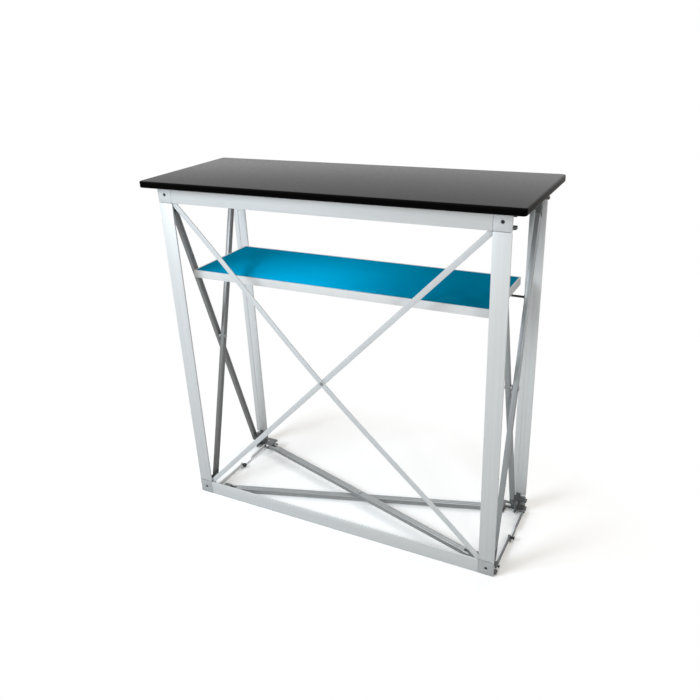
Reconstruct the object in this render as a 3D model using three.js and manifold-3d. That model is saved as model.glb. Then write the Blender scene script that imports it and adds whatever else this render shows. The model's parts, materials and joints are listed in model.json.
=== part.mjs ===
// Folding portable bar: a flat counter top on two end frames that close on each other.
// Side scissor bars carry the back legs, floor bars and locking arms follow them.
// Millimetres, +Z up, front towards -Y, origin under the middle of the counter top.
import * as THREE from 'three';
import { mergeVertices } from 'three/addons/utils/BufferGeometryUtils.js';
import Module from 'manifold-3d';

// Overall size
const HEIGHT = 1000;
const TOP_W = 1040;
const TOP_D = 380;
const TOP_T = 18;
const TOP_EDGE_R = 4;
const TOP_CORNER_R = 9;
const UNDERSIDE = HEIGHT - TOP_T;

// Frame strips and corner hubs
const FRAME_W = 968;
const FRONT_Y = -160;
const BACK_Y = 170;
const STRIP_W = 43;
const STRIP_T = 5;
const GROOVE_W = 12;
const GROOVE_T = 1.5;
const STRIP_GAP = 0.4;
const BACK_DROP = 0.3;
const NECK_FROM = 11;
const NECK_TO = 32;
const NECK_DEPTH = 22;
const LUG_T = 5;
const TONGUE_W = 13;
const TONGUE_T = 3;
const TONGUE_END = 52;
const EAR_OUT = 6;

// Side scissor: pivots measured from the outer face of the strips and from the floor
const PIVOT_IN = 35;
const PIVOT_Z = 35;
const SLIDE_Z = 935;
const BAR_X = 13;
const BAR_W = 17;
const BAR_CLEAR = 0.5;
const PIN_R = 4;
const HOLE_R = 4.2;
const HEAD_R = 6.5;
const HEAD_T = 2.5;
const FIT = 0.3;
const GUIDE_LOW = 922;
const GUIDE_DEPTH = 45;
const SLOT_LOW = 930.5;
const SLOT_HIGH = 976.5;

// Floor bars and the forks that hold them
const FORK_LEFT_X = -401;
const FORK_RIGHT_X = 415;
const FORK_FRONT_Y = -127;
const FORK_BACK_Y = 127;
const FORK_ROUND = 9;
const FORK_NECK = 16;
const EAR_T = 3.7;
const FLOOR_BAR_W = 20;
const FLOOR_BAR_H = 12;
const FLOOR_LOW_Z = 11;
const FLOOR_HIGH_Z = 24.2;
const FLOOR_PIN_R = 2.5;
const FLOOR_SLOT_R = 4.8;
const FLOOR_SLIDE = 23;

// Locking arms between the feet of each side
const ARM_Z = 10;
const ARM_T = 4;
const ARM_STEP = 4.7;
const ARM_LEFT_U = 41;
const ARM_RIGHT_U = 4.7;
const ARM_REACH = 130;
const ARM_PIN_R = 3;
const STUD_R = 3.5;
const LEDGE_FROM = 90;
const LEDGE_TO = 141;

// Front bracing
const BRACE_W = 15;
const BRACE_T = 3;
const BRACE_END = 40;
const BRACE_LAYER = 3.2;

// Shelf
const SHELF_LEFT = -440;
const SHELF_RIGHT = 433;
const SHELF_FRONT = -108;
const SHELF_BACK = 150;
const SHELF_TOP = 737;
const SHELF_T = 22;
const EDGING_T = 4;
const PEG_R = 3;
const PEG_TIP_U = 60;

const wasm = await Module();
wasm.setup();

const group = new THREE.Group();
group.name = 'folding_portable_bar';

// Closed geometry to a solid, and back again
function solid(geometry) {
  const bare = geometry.clone();
  bare.deleteAttribute('normal');
  bare.deleteAttribute('uv');
  const merged = mergeVertices(bare, 1e-4);
  const mesh = new wasm.Mesh({
    numProp: 3,
    vertProperties: new Float32Array(merged.attributes.position.array),
    triVerts: new Uint32Array(merged.index.array),
  });
  return new wasm.Manifold(mesh);
}

function combine(parts, cuts = []) {
  let body = solid(parts[0]);
  for (const part of parts.slice(1)) {
    body = body.add(solid(part));
  }
  for (const cut of cuts) {
    body = body.subtract(solid(cut));
  }
  const mesh = body.getMesh();
  const geometry = new THREE.BufferGeometry();
  geometry.setAttribute('position', new THREE.BufferAttribute(mesh.vertProperties, 3));
  geometry.setIndex(new THREE.BufferAttribute(mesh.triVerts, 1));
  geometry.computeVertexNormals();
  return geometry;
}

// Box between two opposite corners given in any order
function box(x0, x1, y0, y1, z0, z1) {
  const size = [Math.abs(x1 - x0), Math.abs(y1 - y0), Math.abs(z1 - z0)];
  const geometry = new THREE.BoxGeometry(...size);
  return geometry.translate((x0 + x1) / 2, (y0 + y1) / 2, (z0 + z1) / 2);
}

// Rods along one axis, from one coordinate to another
function rodX(radius, x0, x1, y, z, sides = 16) {
  const geometry = new THREE.CylinderGeometry(radius, radius, Math.abs(x1 - x0), sides);
  return geometry.rotateZ(Math.PI / 2).translate((x0 + x1) / 2, y, z);
}

function rodY(radius, y0, y1, x, z, sides = 16) {
  const geometry = new THREE.CylinderGeometry(radius, radius, Math.abs(y1 - y0), sides);
  return geometry.translate(x, (y0 + y1) / 2, z);
}

function rodZ(radius, z0, z1, x, y, sides = 16) {
  const geometry = new THREE.CylinderGeometry(radius, radius, Math.abs(z1 - z0), sides);
  return geometry.rotateX(Math.PI / 2).translate(x, y, (z0 + z1) / 2);
}

// Outline of a bar with round ends, from one end centre to the other
function roundBar(from, to, radius) {
  const shape = new THREE.Shape();
  shape.moveTo(from, -radius);
  shape.lineTo(to, -radius);
  shape.absarc(to, 0, radius, -Math.PI / 2, Math.PI / 2, false);
  shape.lineTo(from, radius);
  shape.absarc(from, 0, radius, Math.PI / 2, 1.5 * Math.PI, false);
  return shape;
}

function roundHole(at, radius) {
  const hole = new THREE.Path();
  hole.absarc(at, 0, radius, 0, 2 * Math.PI, true);
  return hole;
}

function longHole(from, to, radius) {
  const hole = new THREE.Path();
  hole.moveTo(from, radius);
  hole.lineTo(to, radius);
  hole.absarc(to, 0, radius, Math.PI / 2, -Math.PI / 2, true);
  hole.lineTo(from, -radius);
  hole.absarc(from, 0, radius, -Math.PI / 2, -1.5 * Math.PI, true);
  return hole;
}

function extrude(shape, depth, curveSegments = 7) {
  return new THREE.ExtrudeGeometry(shape, { depth, curveSegments, bevelEnabled: false });
}

// Each piece gets its own material
function add(name, geometry, color, roughness, metalness) {
  const material = new THREE.MeshStandardMaterial({ color, roughness, metalness });
  material.name = name;
  const mesh = new THREE.Mesh(geometry, material);
  mesh.name = name;
  group.add(mesh);
}

const addSilver = (name, geometry) => add(name, geometry, 0xd9dadd, 0.42, 0.35);
const addDark = (name, geometry) => add(name, geometry, 0x2c2f33, 0.5, 0.0);
const addBar = (name, geometry) => add(name, geometry, 0x55595e, 0.4, 0.5);
const addSteel = (name, geometry) => add(name, geometry, 0x8d9196, 0.3, 0.9);
const addGrey = (name, geometry) => add(name, geometry, 0x9a9da1, 0.42, 0.4);

// A corner of the frame: u runs in from the side, v in from the strip face, w in from the end
function corner(side, face, level) {
  const drop = face === 'back' ? BACK_DROP : 0;
  const sign = side === 'left' ? -1 : 1;
  return {
    x: (u) => sign * (FRAME_W / 2 - u),
    y: (v) => (face === 'front' ? FRONT_Y + v : BACK_Y - v),
    z: (w) => (level === 'bottom' ? w : UNDERSIDE - drop - w),
  };
}

function cornerBox(c, u0, u1, v0, v1, w0, w1) {
  return box(c.x(u0), c.x(u1), c.y(v0), c.y(v1), c.z(w0), c.z(w1));
}

const MID_U = STRIP_W / 2;
const LUG_FROM = MID_U - LUG_T / 2;
const LUG_TO = MID_U + LUG_T / 2;
const SIDES = ['left', 'right'];
const FACES = ['front', 'back'];
const LEVELS = ['bottom', 'top'];

// Legs and rails: flat strips with a shallow groove along the inner face
function strip(length) {
  const half = STRIP_W / 2;
  const groove = GROOVE_W / 2;
  const shape = new THREE.Shape();
  shape.moveTo(-half, 0);
  shape.lineTo(half, 0);
  shape.lineTo(half, STRIP_T);
  shape.lineTo(groove, STRIP_T);
  shape.lineTo(groove, STRIP_T - GROOVE_T);
  shape.lineTo(-groove, STRIP_T - GROOVE_T);
  shape.lineTo(-groove, STRIP_T);
  shape.lineTo(-half, STRIP_T);
  return extrude(shape, length).translate(0, 0, -length / 2);
}

for (const face of FACES) {
  for (const side of SIDES) {
    const low = STRIP_W + STRIP_GAP;
    const high = corner(side, face, 'top').z(STRIP_W + STRIP_GAP);
    const leg = strip(high - low);
    if (face === 'back') {
      leg.rotateZ(Math.PI);
    }
    leg.translate(corner(side, face, 'bottom').x(MID_U), corner(side, face, 'bottom').y(0), (low + high) / 2);
    addSilver(`leg_${face}_${side}`, leg);
  }
}

for (const level of LEVELS) {
  const rail = strip(FRAME_W - 2 * (STRIP_W + STRIP_GAP)).rotateY(Math.PI / 2);
  rail.translate(0, FRONT_Y, corner('left', 'front', level).z(STRIP_W / 2));
  addSilver(`rail_${level}`, rail);
}

// Front diagonals, one layer behind the other, riveted where they cross
const braceX = FRAME_W / 2 - BRACE_END;
const braceLow = BRACE_END;
const braceHigh = UNDERSIDE - BRACE_END;
const braceHalf = Math.hypot(braceX, (braceHigh - braceLow) / 2);
const braceAngle = Math.atan2((braceHigh - braceLow) / 2, braceX);
const braceMid = (braceLow + braceHigh) / 2;

function brace(angle, inFrom) {
  const shape = roundBar(-braceHalf, braceHalf, BRACE_W / 2);
  shape.holes.push(roundHole(0, FIT + PEG_R));
  const bar = extrude(shape, BRACE_T).translate(0, 0, -BRACE_T);
  bar.rotateZ(angle).rotateX(Math.PI / 2);
  return bar.translate(0, FRONT_Y + inFrom, braceMid);
}

const braceOuter = STRIP_T + FIT;
const braceInner = braceOuter + BRACE_LAYER;
addSilver('brace_falling', brace(-braceAngle, braceOuter));
addSilver('brace_rising', brace(braceAngle, braceInner));
const rivetFront = FRONT_Y + braceOuter - FIT;
const rivetBack = FRONT_Y + braceInner + BRACE_T + FIT;
addSteel('brace_rivet', combine([
  rodY(PEG_R, rivetFront - 1, rivetBack + 1, 0, braceMid),
  rodY(2 * PEG_R, rivetFront - 2, rivetFront, 0, braceMid),
  rodY(2 * PEG_R, rivetBack, rivetBack + 2, 0, braceMid),
]));

// Corner hubs: a dark core behind a pale cover plate, held by one screw
const SCREW_HEAD_R = 4;
const SCREW_R = 2;
const SCREW_SINK = 1.2;
const SCREW_END = 18;

function hubCover(c) {
  const v = STRIP_T;
  const plate = cornerBox(c, 0, STRIP_W, 0, v, 0, STRIP_W);
  const sink = rodY(SCREW_HEAD_R + FIT, c.y(-1), c.y(SCREW_SINK), c.x(MID_U), c.z(MID_U));
  const hole = rodY(SCREW_R + FIT, c.y(-1), c.y(v + 1), c.x(MID_U), c.z(MID_U), 10);
  return combine([plate], [sink, hole]);
}

function hubScrew(c) {
  const head = rodY(SCREW_HEAD_R, c.y(0.2), c.y(SCREW_SINK), c.x(MID_U), c.z(MID_U));
  const shank = rodY(SCREW_R, c.y(0.7), c.y(SCREW_END), c.x(MID_U), c.z(MID_U), 10);
  return combine([head, shank]);
}

// Pieces every hub core shares: neck, two unused outer ears, tongue behind the leg
function coreParts(c) {
  const v = STRIP_T;
  const tongueFrom = MID_U - TONGUE_W / 2;
  const tongueTo = MID_U + TONGUE_W / 2;
  return [
    cornerBox(c, NECK_FROM, NECK_TO, v, NECK_DEPTH, 0, STRIP_W - 3),
    cornerBox(c, -EAR_OUT, NECK_FROM + 1, v + 2, v + 15, 4, 11),
    cornerBox(c, -EAR_OUT, NECK_FROM + 1, v + 2, v + 15, 32, 39),
    cornerBox(c, tongueFrom, tongueTo, v, v + TONGUE_T, STRIP_W - 6, TONGUE_END),
  ];
}

// Tongue behind the rail, and a pad under whichever diagonal lies in the second layer
function frontParts(c, secondLayer) {
  const v = STRIP_T;
  const tongueFrom = MID_U - TONGUE_W / 2;
  const tongueTo = MID_U + TONGUE_W / 2;
  const parts = [cornerBox(c, NECK_TO - 1, TONGUE_END, v, v + TONGUE_T, tongueFrom, tongueTo)];
  if (secondLayer) {
    parts.push(cornerBox(c, NECK_TO - 2, STRIP_W, v, v + BRACE_LAYER, STRIP_W - 11, STRIP_W));
  }
  return parts;
}

// Fork for one floor bar: a web against the hub neck, two ears and a fixed pin between them
function fork(c, pinX, pinY, barZ) {
  const half = FLOOR_BAR_H / 2 + FIT;
  const low = barZ - half - EAR_T;
  const high = barZ + half + EAR_T;
  const neckX = c.x(NECK_TO + FIT);
  const inX = -Math.sign(neckX);
  const inY = c.y(1) - c.y(0);
  const parts = [box(neckX, neckX + inX * 6, c.y(14), c.y(NECK_DEPTH), low, high)];
  for (const z of [low, high - EAR_T]) {
    const tipX = pinX + inX * FORK_ROUND;
    parts.push(box(neckX, tipX, c.y(14), c.y(NECK_DEPTH), z, z + EAR_T));
    parts.push(box(pinX - inX * FORK_NECK, tipX, c.y(14), pinY + inY * FORK_ROUND, z, z + EAR_T));
  }
  const pinEnd = half + EAR_T / 2;
  parts.push(rodZ(FLOOR_PIN_R, barZ - pinEnd, barZ + pinEnd, pinX, pinY));
  return combine(parts);
}

// Planes of the locking arms: inside the left bars, outside the right ones
function armU(side, step) {
  return side === 'left' ? ARM_LEFT_U + step : ARM_RIGHT_U - step;
}

// Lug for the scissor pivot with a fixed spindle for the locking arm
function lugParts(c, side) {
  const tip = PIVOT_IN + BAR_W / 2;
  const armEnd = ARM_STEP + ARM_T;
  const headX = [c.x(armU(side, armEnd + FIT)), c.x(armU(side, armEnd + FIT + 2))];
  return [
    cornerBox(c, LUG_FROM, LUG_TO, NECK_DEPTH - 1, tip, 4, PIVOT_Z + BAR_W / 2),
    rodX(ARM_PIN_R, c.x(MID_U), c.x(armU(side, armEnd + 1)), c.y(PIVOT_IN), ARM_Z),
    rodX(5, ...headX, c.y(PIVOT_IN), ARM_Z),
  ];
}

// Slotted guide for the sliding top ends of the scissor bars
function guideParts(c) {
  return [
    cornerBox(c, LUG_FROM, LUG_TO, STRIP_T, GUIDE_DEPTH, 0, STRIP_W - 1),
    box(c.x(LUG_FROM), c.x(LUG_TO), c.y(STRIP_T + 4), c.y(GUIDE_DEPTH), GUIDE_LOW, c.z(STRIP_W - 6)),
  ];
}

const PEG_TOP_R = 4.5;
const PEG_TOP_H = 8;

for (const face of FACES) {
  for (const side of SIDES) {
    for (const level of LEVELS) {
      const c = corner(side, face, level);
      const label = `${face}_${side}_${level}`;
      const parts = coreParts(c);
      const cuts = [rodY(SCREW_R + FIT, c.y(STRIP_T - 1), c.y(SCREW_END + 1), c.x(MID_U), c.z(MID_U), 10)];
      const rising = (side === 'left') === (level === 'bottom');
      if (face === 'front') {
        parts.push(...frontParts(c, rising));
      }
      if (level === 'bottom') {
        const low = (side === 'left') === (face === 'front');
        parts.push(...lugParts(c, side));
        const pinX = side === 'left' ? FORK_LEFT_X : FORK_RIGHT_X;
        const pinY = face === 'front' ? FORK_FRONT_Y : FORK_BACK_Y;
        addGrey(`floor_fork_${face}_${side}`, fork(c, pinX, pinY, low ? FLOOR_LOW_Z : FLOOR_HIGH_Z));
        cuts.push(rodX(HOLE_R, c.x(LUG_FROM - 1), c.x(LUG_TO + 1), c.y(PIVOT_IN), PIVOT_Z));
      } else {
        parts.push(...guideParts(c));
        const slot = [c.y(PIVOT_IN - HOLE_R), c.y(PIVOT_IN + HOLE_R), SLOT_LOW, SLOT_HIGH];
        cuts.push(box(c.x(LUG_FROM - 1), c.x(LUG_TO + 1), ...slot));
      }
      if (level === 'top' && face === 'front') {
        parts.push(rodZ(PEG_TOP_R, UNDERSIDE - 2, UNDERSIDE + PEG_TOP_H, c.x(MID_U), c.y(14)));
      }
      addDark(`hub_${label}`, combine(parts, cuts));
      addSilver(`hub_cover_${label}`, hubCover(c));
      addDark(`hub_screw_${label}`, hubScrew(c));
    }
  }
}

// Side scissor bars, the rising one always on the +X side of the lug plane
const frontPivotY = FRONT_Y + PIVOT_IN;
const backPivotY = BACK_Y - PIVOT_IN;
const midY = (frontPivotY + backPivotY) / 2;
const midZ = (PIVOT_Z + SLIDE_Z) / 2;
const barLength = Math.hypot(backPivotY - frontPivotY, SLIDE_Z - PIVOT_Z);
const barLean = Math.atan2(backPivotY - frontPivotY, SLIDE_Z - PIVOT_Z);
const barOffset = LUG_T / 2 + BAR_CLEAR + BAR_X / 2;
const pegZ = SHELF_TOP - SHELF_T - PEG_R;
const pegAlong = (pegZ - midZ) / Math.cos(barLean);

function scissorBar(x, lean, slideEndX, peg) {
  const half = barLength / 2;
  const shape = roundBar(-half, half, BAR_W / 2);
  shape.holes.push(roundHole(-half, HOLE_R), roundHole(0, HOLE_R));
  const bar = extrude(shape, BAR_X).translate(0, 0, -BAR_X / 2);
  const along = new THREE.Vector3(0, Math.sin(lean), Math.cos(lean));
  const across = new THREE.Vector3(0, -Math.cos(lean), Math.sin(lean));
  const turn = new THREE.Matrix4().makeBasis(along, across, new THREE.Vector3(1, 0, 0));
  bar.applyMatrix4(turn).translate(x, midY, midZ);
  const topY = midY + half * Math.sin(lean);
  const pin = rodX(PIN_R, x, slideEndX, topY, SLIDE_Z);
  return combine([bar, pin, ...peg]);
}

for (const side of SIDES) {
  const sign = side === 'left' ? -1 : 1;
  const lugX = sign * (FRAME_W / 2 - MID_U);
  const inward = -sign;
  for (const way of ['rising', 'falling']) {
    const toPlus = way === 'rising' ? 1 : -1;
    const x = lugX + toPlus * barOffset;
    const lean = toPlus * barLean;
    const pegY = midY + pegAlong * Math.sin(lean);
    const innerFace = x + inward * BAR_X / 2;
    const peg = [
      rodX(PEG_R, x, sign * (FRAME_W / 2 - PEG_TIP_U), pegY, pegZ, 12),
      rodX(2 * PEG_R, x, innerFace + inward * 2, pegY, pegZ, 12),
    ];
    addBar(`bar_${side}_${way}`, scissorBar(x, lean, lugX + toPlus * -LUG_T / 2, peg));
    const footY = way === 'rising' ? frontPivotY : backPivotY;
    const barFace = x + toPlus * BAR_X / 2;
    const lugFace = lugX - toPlus * (LUG_T / 2 + FIT);
    addSteel(`pivot_pin_${side}_${way}`, combine([
      rodX(PIN_R, lugFace - toPlus, barFace, footY, PIVOT_Z),
      rodX(HEAD_R, lugFace - toPlus * HEAD_T, lugFace, footY, PIVOT_Z),
    ]));
  }
  const reach = barOffset + BAR_X / 2 + FIT;
  addSteel(`centre_pivot_${side}`, combine([
    rodX(PIN_R, lugX - reach - 1, lugX + reach + 1, midY, midZ),
    rodX(HEAD_R, lugX - reach - HEAD_T, lugX - reach, midY, midZ),
    rodX(HEAD_R, lugX + reach, lugX + reach + HEAD_T, midY, midZ),
    rodX(BAR_W / 2, lugX - LUG_T / 2, lugX + LUG_T / 2, midY, midZ),
  ]));
}

// Floor bars: slotted at both ends, turning on one rivet
const spanX = (FORK_RIGHT_X - FORK_LEFT_X) / 2;
const spanY = (FORK_BACK_Y - FORK_FRONT_Y) / 2;
const floorHalf = Math.hypot(spanX, spanY);
const floorTurn = Math.atan2(spanY, spanX);
const floorX = (FORK_LEFT_X + FORK_RIGHT_X) / 2;
const floorY = (FORK_FRONT_Y + FORK_BACK_Y) / 2;

function floorBar(turn, z) {
  const shape = roundBar(-floorHalf, floorHalf, FLOOR_BAR_W / 2);
  const slotFrom = floorHalf - FLOOR_SLIDE;
  shape.holes.push(longHole(slotFrom, floorHalf, FLOOR_SLOT_R));
  shape.holes.push(longHole(-floorHalf, -slotFrom, FLOOR_SLOT_R));
  shape.holes.push(roundHole(0, PEG_R + FIT));
  const bar = extrude(shape, FLOOR_BAR_H).translate(0, 0, -FLOOR_BAR_H / 2);
  return bar.rotateZ(turn).translate(floorX, floorY, z);
}

addGrey('floor_bar_low', floorBar(floorTurn, FLOOR_LOW_Z));
addGrey('floor_bar_high', floorBar(-floorTurn, FLOOR_HIGH_Z));
const rivetLow = FLOOR_LOW_Z - FLOOR_BAR_H / 2 - FIT;
const rivetHigh = FLOOR_HIGH_Z + FLOOR_BAR_H / 2 + FIT;
addSteel('floor_rivet', combine([
  rodZ(PEG_R, rivetLow - 1, rivetHigh + 1, floorX, floorY),
  rodZ(2 * PEG_R, rivetLow - 2.5, rivetLow, floorX, floorY),
  rodZ(2 * PEG_R, rivetHigh, rivetHigh + 2.5, floorX, floorY),
]));

// Locking arms: the front one carries a stud that drops on the ledge of the back one
function frontArm(x0) {
  const shape = roundBar(0, ARM_REACH, 7);
  shape.holes.push(roundHole(0, ARM_PIN_R + FIT), roundHole(ARM_REACH, STUD_R + FIT));
  const arm = extrude(shape, ARM_T);
  arm.rotateX(Math.PI / 2).rotateZ(Math.PI / 2);
  return arm.translate(x0, frontPivotY, ARM_Z);
}

function backArm(x0) {
  const ledge = -STUD_R - FIT;
  const shape = new THREE.Shape();
  shape.absarc(0, 0, 6, Math.PI / 2, 1.5 * Math.PI, false);
  shape.lineTo(LEDGE_FROM - 12, -6);
  shape.lineTo(LEDGE_FROM, -8);
  shape.lineTo(LEDGE_TO, -8);
  shape.lineTo(LEDGE_TO, 0);
  shape.lineTo(ARM_REACH + STUD_R + 2 * FIT, 0);
  shape.lineTo(ARM_REACH + STUD_R + 2 * FIT, ledge);
  shape.lineTo(LEDGE_FROM, ledge);
  shape.lineTo(LEDGE_FROM - 9, 6);
  shape.holes.push(roundHole(0, ARM_PIN_R + FIT));
  const arm = extrude(shape, ARM_T);
  arm.rotateX(Math.PI / 2).rotateZ(-Math.PI / 2);
  return arm.translate(x0, backPivotY, ARM_Z);
}

for (const side of SIDES) {
  const c = corner(side, 'front', 'bottom');
  const at = (step) => c.x(armU(side, step));
  addGrey(`lock_arm_front_${side}`, frontArm(Math.min(at(0), at(ARM_T))));
  addGrey(`lock_arm_back_${side}`, backArm(Math.max(at(ARM_STEP), at(ARM_STEP + ARM_T))));
  const studY = frontPivotY + ARM_REACH;
  const knobFrom = ARM_STEP + ARM_T + FIT;
  addDark(`lock_knob_${side}`, combine([
    rodX(STUD_R, at(-1), at(knobFrom + 1), studY, ARM_Z),
    rodX(6, at(-FIT - 2), at(-FIT), studY, ARM_Z),
    rodX(7, at(knobFrom), at(knobFrom + 7), studY, ARM_Z),
  ]));
}

// Counter top with blind sockets for the two front pegs
function slab(width, depth, height, cornerRadius, edge) {
  const x = width / 2 - edge;
  const y = depth / 2 - edge;
  const r = cornerRadius - edge;
  const shape = new THREE.Shape();
  shape.moveTo(-x + r, -y);
  shape.absarc(x - r, -y + r, r, -Math.PI / 2, 0, false);
  shape.absarc(x - r, y - r, r, 0, Math.PI / 2, false);
  shape.absarc(-x + r, y - r, r, Math.PI / 2, Math.PI, false);
  shape.absarc(-x + r, -y + r, r, Math.PI, 1.5 * Math.PI, false);
  const bevel = { bevelThickness: edge, bevelSize: edge, bevelSegments: 3 };
  const settings = { depth: height - 2 * edge, curveSegments: 5, bevelEnabled: true, ...bevel };
  return new THREE.ExtrudeGeometry(shape, settings).translate(0, 0, edge);
}

const sockets = SIDES.map((side) => {
  const c = corner(side, 'front', 'top');
  return rodZ(PEG_TOP_R + 2 * FIT, UNDERSIDE - 1, UNDERSIDE + PEG_TOP_H + 2, c.x(MID_U), c.y(14));
});
const board = slab(TOP_W, TOP_D, TOP_T, TOP_CORNER_R, TOP_EDGE_R).translate(0, 0, UNDERSIDE);
add('counter_top', combine([board], sockets), 0x101114, 0.22, 0.0);

// Shelf: a coloured panel inside a pale edging
const shelfLow = SHELF_TOP - SHELF_T;
const shelfOuter = box(SHELF_LEFT, SHELF_RIGHT, SHELF_FRONT, SHELF_BACK, shelfLow, SHELF_TOP);
const shelfSpan = [SHELF_LEFT + EDGING_T, SHELF_RIGHT - EDGING_T];
const shelfDepth = [SHELF_FRONT + EDGING_T, SHELF_BACK - EDGING_T];
const shelfWell = box(...shelfSpan, ...shelfDepth, shelfLow - 1, SHELF_TOP + 1);
add('shelf_edging', combine([shelfOuter], [shelfWell]), 0xe4e6e8, 0.45, 0.0);
const panelX = [shelfSpan[0] + FIT, shelfSpan[1] - FIT];
const panelY = [shelfDepth[0] + FIT, shelfDepth[1] - FIT];
add('shelf_panel', box(...panelX, ...panelY, shelfLow, SHELF_TOP - 0.5), 0x0e86ad, 0.25, 0.0);

export default group;
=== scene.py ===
# %% [markdown]
# # A folding bar, dressed for the camera
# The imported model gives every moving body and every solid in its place. This lesson keeps that
# frame, adds the shapes that a plain solid leaves out (rounded strips, grooved bars, turned pins)
# and gives each surface a finish made of nodes. All lengths are in metres. Tables of small sizes are
# written in millimetres and turned into metres where they are defined.

# %% Load the frame
import json
import math
import bmesh
import bpy
import numpy as np
from mathutils import Matrix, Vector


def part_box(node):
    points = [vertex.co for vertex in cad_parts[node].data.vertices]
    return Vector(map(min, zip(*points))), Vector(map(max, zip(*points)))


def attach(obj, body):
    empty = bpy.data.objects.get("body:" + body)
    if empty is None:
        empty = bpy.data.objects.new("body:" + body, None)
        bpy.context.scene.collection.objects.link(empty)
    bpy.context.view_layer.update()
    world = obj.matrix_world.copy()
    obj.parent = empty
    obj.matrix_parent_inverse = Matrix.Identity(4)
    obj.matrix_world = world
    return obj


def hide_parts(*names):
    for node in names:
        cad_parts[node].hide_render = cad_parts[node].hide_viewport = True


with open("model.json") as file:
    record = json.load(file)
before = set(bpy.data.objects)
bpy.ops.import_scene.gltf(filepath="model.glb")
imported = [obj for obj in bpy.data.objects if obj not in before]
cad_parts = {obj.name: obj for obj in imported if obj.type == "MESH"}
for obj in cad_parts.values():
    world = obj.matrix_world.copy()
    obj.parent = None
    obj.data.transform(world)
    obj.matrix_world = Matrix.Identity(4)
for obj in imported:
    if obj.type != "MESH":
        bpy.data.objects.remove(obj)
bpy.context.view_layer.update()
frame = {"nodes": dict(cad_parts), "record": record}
scene = bpy.context.scene
scene.view_settings.view_transform = "Standard"
node_body = {n: b for b, nodes in frame["record"]["behaviour"]["bodies"].items() for n in nodes}
X, Y, Z = np.eye(3)

# %% [markdown]
# ## Camera
# The viewing angle was solved from the corners of the counter top and the feet of the legs. A
# camera matrix has its right, up and backward directions as columns, so the solved turn, tilt and
# roll are written straight into those three columns. Tracking to a target would lose the roll.

# %% Camera at the photograph's angle
TURN, TILT, ROLL = 0.49071, 0.42526, -0.04369
LENS_PIXELS, FRAME_PIXELS, SENSOR_MM = 712.45, 700.0, 36.0
PLACE = (0.8655, -1.6274, 1.3502)


def camera_axes(turn, tilt, roll):
    """Forward from turn and tilt, right level with the floor, then both rolled about forward."""
    ahead = np.array([-math.sin(turn), math.cos(turn), 0.0])
    level = np.array([math.cos(turn), math.sin(turn), 0.0])
    forward = ahead * math.cos(tilt) - Z * math.sin(tilt)
    up = np.cross(level, forward)
    right = math.cos(roll) * level + math.sin(roll) * up
    return right, np.cross(right, forward), -forward


def standing(right, up, back, place):
    """Matrix whose columns are the right, up and backward directions and the place."""
    axes = np.eye(4)
    axes[:3] = np.stack([right, up, back, place], axis=1)
    return Matrix(axes.tolist())


camera = bpy.data.objects.new("camera", bpy.data.cameras.new("camera"))
camera.data.sensor_width = SENSOR_MM
camera.data.lens = SENSOR_MM * LENS_PIXELS / FRAME_PIXELS
camera.matrix_world = standing(*camera_axes(TURN, TILT, ROLL), PLACE)
scene.collection.objects.link(camera)
scene.camera = camera
print("lens", round(camera.data.lens, 2), "mm")

# %% [markdown]
# ## White background
# A bright wall would also throw its light on the object. So the world is dim and a little warm for the
# light that it gives, and white only for rays that come from the camera, from gloss or through glass.

# %% World that looks white
FILL, WHITE = (0.53, 0.507, 0.476), (1.0, 1.0, 1.0)


def new_node(tree, kind, **settings):
    """A new node of one kind with its plain settings given by name."""
    node = tree.nodes.new(kind)
    for key, value in settings.items():
        setattr(node, key, value)
    return node


world = bpy.data.worlds.new("studio")
scene.world = world
world.use_nodes = True
tree = world.node_tree
backdrop = tree.nodes["Background"]
rays = new_node(tree, "ShaderNodeLightPath")
seen = new_node(tree, "ShaderNodeMath", operation="MAXIMUM")
seen_too = new_node(tree, "ShaderNodeMath", operation="MAXIMUM")
glow = new_node(tree, "ShaderNodeMix", data_type="RGBA")
glow.inputs["A"].default_value = (*FILL, 1.0)
glow.inputs["B"].default_value = (*WHITE, 1.0)
tree.links.new(rays.outputs["Is Camera Ray"], seen.inputs[0])
tree.links.new(rays.outputs["Is Transmission Ray"], seen.inputs[1])
tree.links.new(seen.outputs[0], seen_too.inputs[0])
tree.links.new(rays.outputs["Is Glossy Ray"], seen_too.inputs[1])
tree.links.new(seen_too.outputs[0], glow.inputs["Factor"])
tree.links.new(glow.outputs["Result"], backdrop.inputs["Color"])
print("world fill", FILL)

# %% [markdown]
# ## Floor
# The bar stands on a plain pale floor. A white plane alone would show the falloff of the lamps all over it.
# So the floor is matte for the light that it bounces, but camera rays see it lifted towards white, so that
# only the shadows at the feet show, and plain white further out. The fade is squeezed from front to back,
# which keeps a grey patch on the floor behind the bar out of the picture.

# %% Floor that keeps the shadows
NEAR, FAR, SQUEEZE = 0.6, 0.95, 1.6
BOUNCE, MIRRORED, LIFTED = 0.58, 0.6, 1.27
FLOOR_REACH = 14.0


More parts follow.
